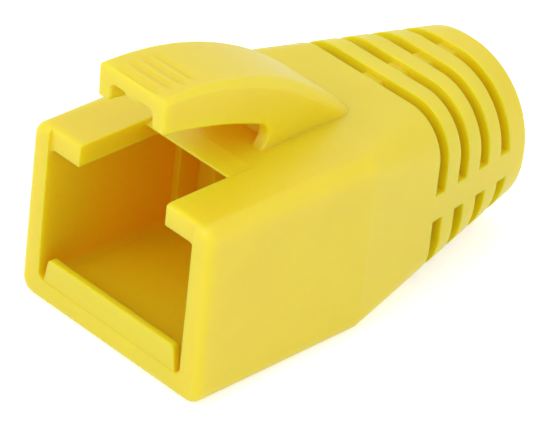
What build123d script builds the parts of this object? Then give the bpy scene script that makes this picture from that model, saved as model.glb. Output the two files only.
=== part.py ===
from build123d import *
import os

os.makedirs("parts", exist_ok=True)

# A snagless strain-relief boot for a modular network plug, in millimetres.
# X runs across the boot, Y from the plug mouth at 0 to the cable end, Z up from the underside.
# The finished boot is moved at the end, so that its origin lies under the middle of its outer box.

# Body shell
body_width = 15.0
body_height = 11.65
body_corner = 1.0
side_draft = 0.12
mouth_rounding = 0.55
straight_length = 12.8
total_length = 28.25

# Plug cavity, and the throat and bore behind it
side_wall = 1.5
floor_thickness = 1.5
roof_thickness = 1.4
cavity_depth = 10.2
cavity_corner = 0.5
ledge_width = 0.5
ledge_height = 0.3
throat_length = 1.6
throat_corner = 1.2
funnel_length = 1.8
funnel_diameter = 8.5
bore_diameter = 7.4

# Latch slot in the roof, with a wedge-shaped edge behind it
slot_width = 7.15
slot_length = 5.2
lug_setback = 0.2
ramp_length = 1.45
ramp_drop = 0.3
wedge_edge = 0.12
wedge_length = 2.0

# Snap lip that holds the plug in
lip_width = 11.2
lip_height = 1.62
lip_root = 0.3
lip_thickness = 0.5
lip_setback = 0.05
lip_end_slant = 0.35
lip_rounding = 0.25

# Latch hood
hood_width = 5.35
hood_front = 0.22
hood_rise = 6.03
hood_climb = 0.035
hood_end = 15.7
hood_sink = 0.05
hood_depth = 5.0
hood_root = 0.6
hood_web = 1.0
hood_flange = 1.0
flange_drop = 2.15
flange_slope = -0.1
flange_rounding = 0.42
web_rounding = 0.35
edge_bevel = 0.1
shoulder_front = 0.3
shoulder_back = 0.9
hollow_length = 6.3
hollow_end = 9.35
curl_start = 8.05
curl_rise = 1.8
curl_foot = 8.15

# Pusher rib under the hood
pusher_setback = 0.15
pusher_length = 2.5
pusher_radius = 1.0
pusher_depth = 0.3

# Thumb grooves across the front of the hood
groove_count = 4
groove_pitch = 0.93
groove_first = 0.45
groove_length = 3.7
groove_runout = 0.55
groove_radius = 0.45
groove_depth = 0.11

# Cable end with its flexing rings
end_diameter = 11.0
end_corner = 5.25
end_lift = 0.12
end_chamfer = 0.29
end_land = 0.01
slit_count = 4
slit_width = 0.92
slit_pitch = 2.09
last_ring = 1.9
spine_height = 1.75
web_top = 1.25
web_foot = 3.4
web_recess = 0.35

# Heights and widths shared by several features
bore_height = end_lift + end_diameter / 2
cavity_top = body_height - roof_thickness
cavity_middle = (cavity_top + floor_thickness) / 2
cavity_width = body_width - 2 * side_wall
cavity_height = cavity_top - floor_thickness
hood_top = body_height + hood_rise
hollow_width = hood_width - 2 * hood_flange

# Cutting shapes run this far past the surfaces they cut, and edges are picked within this tolerance
overrun = 1.0
over_roof = body_height + overrun
over_hood = hood_top + overrun
near = 0.01


def section(y, width, height, centre_z, corner):
    """Rounded rectangle facing the mouth, at a distance y from it."""
    plane = Plane(origin=(0, y, centre_z), x_dir=(1, 0, 0), z_dir=(0, -1, 0))
    return plane * RectangleRounded(width, height, min(corner, 0.49 * width, 0.49 * height))


def block(x_size, y0, y1, z0, z1):
    """Box centred on the middle plane of the boot."""
    return Pos(0, (y0 + y1) / 2, (z0 + z1) / 2) * Box(x_size, y1 - y0, z1 - z0)


def across(outline, width):
    """Solid from a closed side outline, extruded evenly to both sides of the middle plane."""
    return extrude(Plane.YZ * make_face(outline), amount=width / 2, both=True)


def body_section(y):
    """Outline of the square part of the body, which leans in a little towards the roof."""
    foot = body_width / 2 + side_draft * body_corner / body_height
    top = body_width / 2 - side_draft
    corners = Polyline((-foot, 0), (foot, 0), (top, body_height), (-top, body_height), close=True)
    plane = Plane(origin=(0, y, 0), x_dir=(1, 0, 0), z_dir=(0, -1, 0))
    face = make_face(corners)
    return plane * fillet(face.vertices(), body_corner)


def outer_body():
    """Square shell that lofts into the round cable end, with its mouth and end edges eased."""
    taper_end = total_length - end_chamfer - end_land
    mouth, shoulder = body_section(0), body_section(straight_length)
    end = section(taper_end, end_diameter, end_diameter, bore_height, end_corner)
    square = loft([mouth, shoulder], ruled=True)
    square = fillet(square.faces().sort_by(Axis.Y)[0].edges(), mouth_rounding)
    rim = extrude(end, amount=-end_chamfer - end_land)
    rim = chamfer(rim.faces().sort_by(Axis.Y)[-1].edges(), end_chamfer)
    return square + loft([shoulder, end], ruled=True) + rim


def plug_space():
    """Square plug cavity, then its ledge, a funnel and the cable bore."""
    throat_y = cavity_depth + throat_length
    bore_y = throat_y + funnel_length
    front = section(-overrun, cavity_width, cavity_height, cavity_middle, cavity_corner)
    cavity = extrude(front, amount=-overrun - cavity_depth)
    throat = extrude(section(cavity_depth, cavity_width - 2 * ledge_width, cavity_height - 2 * ledge_height,
                             cavity_middle, throat_corner), amount=-throat_length)
    axis = Pos(0, 0, bore_height) * Rot(-90, 0, 0)
    funnel = Pos(0, 0, throat_y + funnel_length / 2)
    funnel *= Cone(funnel_diameter / 2, bore_diameter / 2, funnel_length)
    bore_end = total_length + overrun
    bore = Pos(0, 0, (bore_y + bore_end) / 2) * Cylinder(bore_diameter / 2, bore_end - bore_y)
    return cavity + throat + axis * funnel + axis * bore


def latch_slot():
    """Open slot in the roof for the plug's latch: a ramp and a wedge behind it, and set-back lugs."""
    low, foot = cavity_top - overrun, body_height - ramp_drop
    ramp_end, wedge_end = slot_length + ramp_length, slot_length + wedge_length
    outline = Polyline(
        (-overrun, low), (wedge_end, low), (wedge_end, cavity_top),
        (slot_length, foot - wedge_edge), (slot_length, foot), (ramp_end, body_height),
        (ramp_end, over_roof), (-overrun, over_roof), close=True)
    return across(outline, slot_width) + block(cavity_width, -overrun, lug_setback, low, over_roof)


def hood_crest(drop):
    """Arc along the hood's back, lowered by the given drop."""
    return TangentArc((hood_front, hood_top - drop), (hood_end, body_height - hood_sink - drop),
                      tangent=(1, hood_climb))


def hood_blank():
    """Solid bar swept along the crest, whose two shoulders round off more towards the cable."""
    path = Plane.YZ * hood_crest(0)
    sections = []
    for t, rounding in ((0, shoulder_front), (1, shoulder_back)):
        plane = Plane(origin=path @ t, x_dir=(1, 0, 0), z_dir=path % t)
        bar = plane * Pos(0, hood_depth / 2) * Rectangle(hood_width, hood_depth)
        crest_corners = bar.vertices().sort_by(lambda v: (v.center() - path @ t).length)[:2]
        sections.append(fillet(crest_corners, rounding))
    return sweep(sections, path=path, multisection=True)


def hood_edge():
    """Lower edge of the flanges, seen from the side, and the curl that takes it down to the roof."""
    start = (hood_front - overrun, hood_top - flange_drop - flange_slope * overrun)
    edge = TangentArc(start, (curl_start, body_height + curl_rise), tangent=(1, flange_slope))
    return edge, TangentArc(edge @ 1, (curl_foot, body_height), tangent=edge % 1)


def hood_outline():
    """Side outline of the hood, from its flange edge and curl to well above the crest."""
    edge, curl = hood_edge()
    root, back = body_height - hood_root, hood_end + hood_depth
    rest = Polyline(curl @ 1, (curl_foot, root), (back, root), (back, over_hood),
                    (hood_front - overrun, over_hood), edge @ 0)
    return [edge, curl, rest]


def hood_hollow():
    """Space between the flanges, with its upper corners rounded under the web."""
    crest = hood_crest(hood_web)
    under = crest.trim(0, hollow_length / crest.length)
    down = TangentArc(under @ 1, (hollow_end, body_height), tangent=under % 1)
    low, front, behind = body_height - overrun, under @ 0 - under % 0, under @ 1
    rest = Polyline(behind, (behind.X, low), (front.X, low), front, under @ 0)
    space = across([under, rest], hollow_width)
    corners = [e for e in space.edges().filter_by(GeomType.CIRCLE) if abs(e.radius - under.radius) < near]
    tail = Polyline(down @ 1, (hollow_end, low), (behind.X, low), behind)
    return fillet(corners, web_rounding) + across([down, tail], hollow_width)


def hood():
    """Arched guard over the latch: a web on two flanges that curls down into the roof."""
    shape = (hood_blank() & across(hood_outline(), 2 * hood_width)) - hood_hollow()
    rim, curl = hood_edge()
    lower = [e for e in shape.edges().filter_by(GeomType.CIRCLE)
             if abs(abs(e.center().X) - hollow_width / 2) < near and abs(e.radius - rim.radius) < near]
    shape = fillet(lower, flange_rounding)
    side, top = hood_width / 2 - shoulder_front, hood_top - hood_web / 2
    nose = [e for e in shape.faces().sort_by(Axis.Y)[0].edges()
            if abs(e.center().X) > side or e.center().Z > top]
    outer = [e for e in shape.edges().filter_by(GeomType.CIRCLE)
             if abs(abs(e.center().X) - hood_width / 2) < near
             and (abs(e.radius - rim.radius) < near or abs(e.radius - curl.radius) < near)]
    return chamfer(nose + outer, edge_bevel)


def pusher():
    """Short rib of round section under the web that presses the plug's latch."""
    y0 = hood_front + pusher_setback
    y1 = y0 + pusher_length
    under = hood_top - hood_web
    low = under - pusher_depth
    rod = Pos(0, (y0 + y1) / 2, low + pusher_radius) * Rot(90, 0, 0) * Cylinder(pusher_radius, pusher_length)
    return rod & block(2 * pusher_radius, y0, y1, low, under + pusher_depth)


def grooves():
    """Shallow grooves that run out at both ends and give the thumb a grip."""
    crest = hood_crest(0)
    lift = groove_radius - groove_depth
    straight = groove_length - 2 * groove_runout
    cutter = Rot(0, 90, 0) * Cylinder(groove_radius, straight)
    for side in (-1, 1):
        middle = Pos(side * (groove_length - groove_runout) / 2, 0, 0)
        cutter += middle * Rot(0, side * 90, 0) * Cone(groove_radius, lift, groove_runout)
    cuts = []
    for i in range(groove_count):
        t = (groove_first + i * groove_pitch) / crest.length
        p, along = crest @ t, crest % t
        cuts.append(Pos(0, p.X - along.Y * lift, p.Y + along.X * lift) * cutter)
    return cuts


def snap_lip():
    """Low ridge across the mouth floor with slanted ends."""
    half = lip_width / 2
    z0, z1 = floor_thickness - lip_root, floor_thickness + lip_height
    outline = Polyline((-half, z0), (half, z0), (half - lip_end_slant, z1),
                       (-half + lip_end_slant, z1), close=True)
    face = make_face(Plane.XZ * outline)
    corners = [v for v in face.vertices() if v.Z > floor_thickness]
    face = fillet(corners, lip_rounding)
    return Pos(0, lip_setback, 0) * extrude(face, amount=-lip_thickness)


def web(y0, y1, crest_z, side):
    """Drafted bridge left standing in a slit, above (1) or below (-1) the bore."""
    wall = abs(crest_z - bore_height) - bore_diameter / 2
    low = bore_height + side * bore_diameter / 3
    half_foot = web_top / 2 + (web_foot - web_top) / 2 / wall * abs(crest_z - low)
    outline = Polyline((-web_top / 2, crest_z), (web_top / 2, crest_z), (half_foot, low),
                       (-half_foot, low), close=True)
    return Pos(0, y1, 0) * extrude(Plane.XZ * make_face(outline), amount=y1 - y0)


def slits():
    """Ring slits from above and below that leave two side spines and two recessed webs."""
    cuts = []
    for i in range(slit_count):
        y1 = total_length - last_ring - i * slit_pitch
        y0 = y1 - slit_width
        t = ((y0 + y1) / 2 - straight_length) / (total_length - straight_length)
        ring_top = body_height + t * (bore_height + end_diameter / 2 - body_height)
        ring_foot = t * end_lift
        top = block(body_width, y0, y1, bore_height + spine_height / 2, over_roof)
        foot = block(body_width, y0, y1, -overrun, bore_height - spine_height / 2)
        cuts.append(top - web(y0, y1, ring_top - web_recess, 1))
        cuts.append(foot - web(y0, y1, ring_foot + web_recess, -1))
    return cuts


boot = outer_body() + hood() + pusher()
boot -= latch_slot()
boot -= plug_space()
boot += snap_lip()
for cut in grooves() + slits():
    boot -= cut

# The origin ends under the middle of the outer box, on the surface that the boot stands on
boot = Pos(0, -total_length / 2, 0) * boot.solid()
boot.label = "boot"
export_step(boot, "parts/boot.step")
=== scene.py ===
import math
import bpy
from mathutils import Matrix, Vector

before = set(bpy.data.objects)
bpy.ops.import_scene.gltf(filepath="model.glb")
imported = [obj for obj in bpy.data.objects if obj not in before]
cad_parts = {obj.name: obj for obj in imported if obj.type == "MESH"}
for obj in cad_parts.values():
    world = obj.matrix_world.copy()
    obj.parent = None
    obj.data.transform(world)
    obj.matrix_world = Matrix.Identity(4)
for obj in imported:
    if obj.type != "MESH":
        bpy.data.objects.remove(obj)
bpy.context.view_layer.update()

MM = 0.001
MOUTH_Y = -14.125 * MM
BOOT_SIDE = 7.5 * MM
BOOT_MIDDLE = Vector((0, 0, 6.0 * MM))
PHOTO_WIDE, PHOTO_HIGH = 550.0, 425.0
# Sockets of the Mix node by number, because its colour and its plain sockets share their names
COLOUR_A, COLOUR_B, COLOUR_OUT = 6, 7, 2
NUMBER_A, NUMBER_B, NUMBER_OUT = 2, 3, 0


def linear(hex_colour):
    """Linear colour with full alpha from an sRGB hex value."""
    out = []
    for i in (1, 3, 5):
        c = int(hex_colour[i:i + 2], 16) / 255
        out.append(c / 12.92 if c <= 0.04045 else ((c + 0.055) / 1.055) ** 2.4)
    return (*out, 1.0)


def add(tree, kind, links=None, **settings):
    """Adds a node; settings fill its sockets or properties, links feed its sockets."""
    node = tree.nodes.new(kind)
    for name, value in settings.items():
        if hasattr(node, name):
            setattr(node, name, value)
        else:
            node.inputs[name.replace("_", " ")].default_value = value
    for socket, source in (links or {}).items():
        tree.links.new(source, node.inputs[socket])
    return node


def new_material(name):
    """Material with an empty node tree."""
    material = bpy.data.materials.new(name)
    material.use_nodes = True
    material.node_tree.nodes.clear()
    return material, material.node_tree


def moulded_soft_pvc():
    """Yellow plasticised PVC, injection moulded: satin skin, milky depth, faint spark-eroded grain, painted
    orange shade deep in the plug cavity.
    """
    material, tree = new_material("moulded_soft_pvc")
    place = add(tree, "ShaderNodeTexCoord").outputs["Object"]
    # The tool's spark-eroded grain is about 0.05 mm; it is drawn at 0.14 mm so that it shows
    grain_size = 0.14 * MM
    grain = add(tree, "ShaderNodeTexNoise", {"Vector": place}, Scale=1 / grain_size, Detail=2.0, Roughness=0.6)
    # Melt flow leaves cloudy patches some 4 mm across in the colour and the gloss
    patch_size = 4.0 * MM
    flow = add(tree, "ShaderNodeTexNoise", {"Vector": place}, Scale=1 / patch_size, Detail=3.0, Roughness=0.5)
    patch_low, patch_high = 0.3, 0.7
    tint = add(tree, "ShaderNodeValToRGB", {"Fac": flow.outputs["Fac"]})
    tint.color_ramp.elements[0].position = patch_low
    tint.color_ramp.elements[0].color = linear("#E9D414")
    tint.color_ramp.elements[1].position = patch_high
    tint.color_ramp.elements[1].color = linear("#ECD81C")
    gloss = add(tree, "ShaderNodeMapRange", {"Value": flow.outputs["Fac"]},
                From_Min=patch_low, From_Max=patch_high, To_Min=0.40, To_Max=0.46)
    # Painted shade: where ambient occlusion is strong, deep in the plug cavity, the colour is mixed towards
    # orange to stand in for the deeper shade there. It is kept out of the slits of the cable end and fades out
    # between y = -2 and 3 mm, before them
    recess = add(tree, "ShaderNodeAmbientOcclusion", Distance=14.0 * MM, samples=8, only_local=True)
    depth = add(tree, "ShaderNodeMapRange", {"Value": recess.outputs["AO"]}, From_Min=0.0, From_Max=0.41)
    along = add(tree, "ShaderNodeSeparateXYZ", {"Vector": place})
    rear = add(tree, "ShaderNodeMapRange", {"Value": along.outputs["Y"]}, From_Min=-2.0 * MM, From_Max=3.0 * MM)
    free_of_painted_shade = add(tree, "ShaderNodeMath", {0: depth.outputs["Result"], 1: rear.outputs["Result"]},
                   operation="MAXIMUM")
    pigment_and_painted_shade = add(tree, "ShaderNodeMix", {"Factor": free_of_painted_shade.outputs[0], COLOUR_B: tint.outputs["Color"]},
                  data_type="RGBA")
    # Orange of the painted shade in the cavity
    pigment_and_painted_shade.inputs[COLOUR_A].default_value = linear("#FABE00")
    # Moulded edges are never sharp: all of them are eased by about 0.15 mm, so that they catch the light
    eased = add(tree, "ShaderNodeBevel", Radius=0.15 * MM, samples=6)
    bump = add(tree, "ShaderNodeBump", {"Height": grain.outputs["Fac"], "Normal": eased.outputs["Normal"]},
               Strength=0.12, Distance=0.01 * MM)
    surface = {"Base Color": pigment_and_painted_shade.outputs[COLOUR_OUT], "Roughness": gloss.outputs["Result"],
               "Normal": bump.outputs["Normal"]}
    skin = add(tree, "ShaderNodeBsdfPrincipled", surface, IOR=1.54, Specular_IOR_Level=0.55,
               Subsurface_Weight=1.0, Subsurface_Radius=(1.0, 0.8, 0.12), Subsurface_Scale=1.6 * MM)
    add(tree, "ShaderNodeOutputMaterial", {"Surface": skin.outputs["BSDF"]})
    return material


def seen_directly(tree):
    """1 for camera, mirror and see-through rays, 0 for the rays that light things."""
    path = add(tree, "ShaderNodeLightPath")
    first = add(tree, "ShaderNodeMath", {0: path.outputs["Is Camera Ray"], 1: path.outputs["Is Glossy Ray"]},
                operation="MAXIMUM")
    both = add(tree, "ShaderNodeMath", {0: first.outputs[0], 1: path.outputs["Is Transmission Ray"]},
               operation="MAXIMUM")
    return both.outputs[0]


def pale_table():
    """Matt white paper that looks white to the camera and keeps a soft shadow."""
    material, tree = new_material("matt_white_paper")
    lift = add(tree, "ShaderNodeMath", {0: seen_directly(tree)}, operation="MULTIPLY")
    lift.inputs[1].default_value = 0.5
    paper = add(tree, "ShaderNodeBsdfDiffuse", Color=linear("#F4F4F4"))
    glow = add(tree, "ShaderNodeEmission", {"Strength": lift.outputs[0]}, Color=linear("#FFFFFF"))
    both = add(tree, "ShaderNodeAddShader", {0: paper.outputs["BSDF"], 1: glow.outputs["Emission"]})
    add(tree, "ShaderNodeOutputMaterial", {"Surface": both.outputs["Shader"]})
    half, gap_below = 1.5, 0.02 * MM
    corners = [(-half, -half, 0), (half, -half, 0), (half, half, 0), (-half, half, 0)]
    mesh = bpy.data.meshes.new("table")
    mesh.from_pydata(corners, [], [(0, 1, 2, 3)])
    mesh.materials.append(material)
    table = bpy.data.objects.new("table", mesh)
    table.location.z = -gap_below
    bpy.context.scene.collection.objects.link(table)


def studio_air():
    """Even white surroundings: white to look at, gentler as a light."""
    world = bpy.data.worlds.new("studio_air")
    bpy.context.scene.world = world
    world.use_nodes = True
    tree = world.node_tree
    tree.nodes.clear()
    strength = add(tree, "ShaderNodeMix", {"Factor": seen_directly(tree)}, data_type="FLOAT")
    strength.inputs[NUMBER_A].default_value = 0.785
    strength.inputs[NUMBER_B].default_value = 1.0
    air = add(tree, "ShaderNodeBackground", {"Strength": strength.outputs[NUMBER_OUT]}, Color=linear("#FFFFFF"))
    add(tree, "ShaderNodeOutputWorld", {"Surface": air.outputs["Background"]})


def softbox(name, place, size, watts):
    """Square lamp aimed at the middle of the boot; place and size are in metres."""
    lamp = bpy.data.lights.new(name, "AREA")
    lamp.shape = "SQUARE"
    lamp.size = size
    lamp.energy = watts
    box = bpy.data.objects.new(name, lamp)
    box.location = place
    aim = BOOT_MIDDLE - Vector(place)
    box.rotation_euler = aim.to_track_quat("-Z", "Y").to_euler()
    bpy.context.scene.collection.objects.link(box)


def photo_camera():
    """Long lens from the front right and above, rolled a few degrees, as in the photograph."""
    az, el, roll = (math.radians(a) for a in (42.671, 32.975, 6.533))
    # Focal length in pixels, and pixels per millimetre at the middle of the mouth's lower edge
    focal_px, scale = 4226.0, 17.608
    # The mouth's lower right corner and where it lies in the photograph
    anchor, anchor_px = Vector((BOOT_SIDE, MOUTH_Y, 0)), (194.666, 410.774)
    back = Vector((math.sin(az) * math.cos(el), -math.cos(az) * math.cos(el), math.sin(el)))
    level = Vector((math.cos(az), math.sin(az), 0))
    right = math.cos(roll) * level + math.sin(roll) * back.cross(level)
    up = back.cross(right)
    far = focal_px / scale * MM
    # The anchor's own depth fixes how far the view centre lies beside it
    origin = Vector((0, MOUTH_Y, 0))
    depth = far - back.dot(anchor - origin)
    across = (anchor_px[0] - PHOTO_WIDE / 2) * depth / focal_px - right.dot(anchor - origin)
    above = (PHOTO_HIGH / 2 - anchor_px[1]) * depth / focal_px - up.dot(anchor - origin)
    film_wide = 36.0
    data = bpy.data.cameras.new("photo_camera")
    data.sensor_width = film_wide
    data.lens = film_wide * focal_px / PHOTO_WIDE
    data.clip_start, data.clip_end = 0.01, 20.0
    camera = bpy.data.objects.new("photo_camera", data)
    spot = origin + back * far - right * across - up * above
    camera.matrix_world = Matrix.Translation(spot) @ Matrix((right, up, back)).transposed().to_4x4()
    bpy.context.scene.collection.objects.link(camera)
    bpy.context.scene.camera = camera


def dress_boot():
    """Gives the moulded boot its plastic."""
    boot = bpy.data.objects["boot"]
    plastic = moulded_soft_pvc()
    for slot in boot.material_slots:
        slot.material = plastic


dress_boot()
pale_table()
studio_air()
softbox("front", (-0.05, -0.52, 0.44), 0.4, 1.35)
softbox("right_side", (0.60, 0.22, 0.16), 0.4, 0.48)
photo_camera()

view = bpy.context.scene.view_settings
view.view_transform = "Standard"
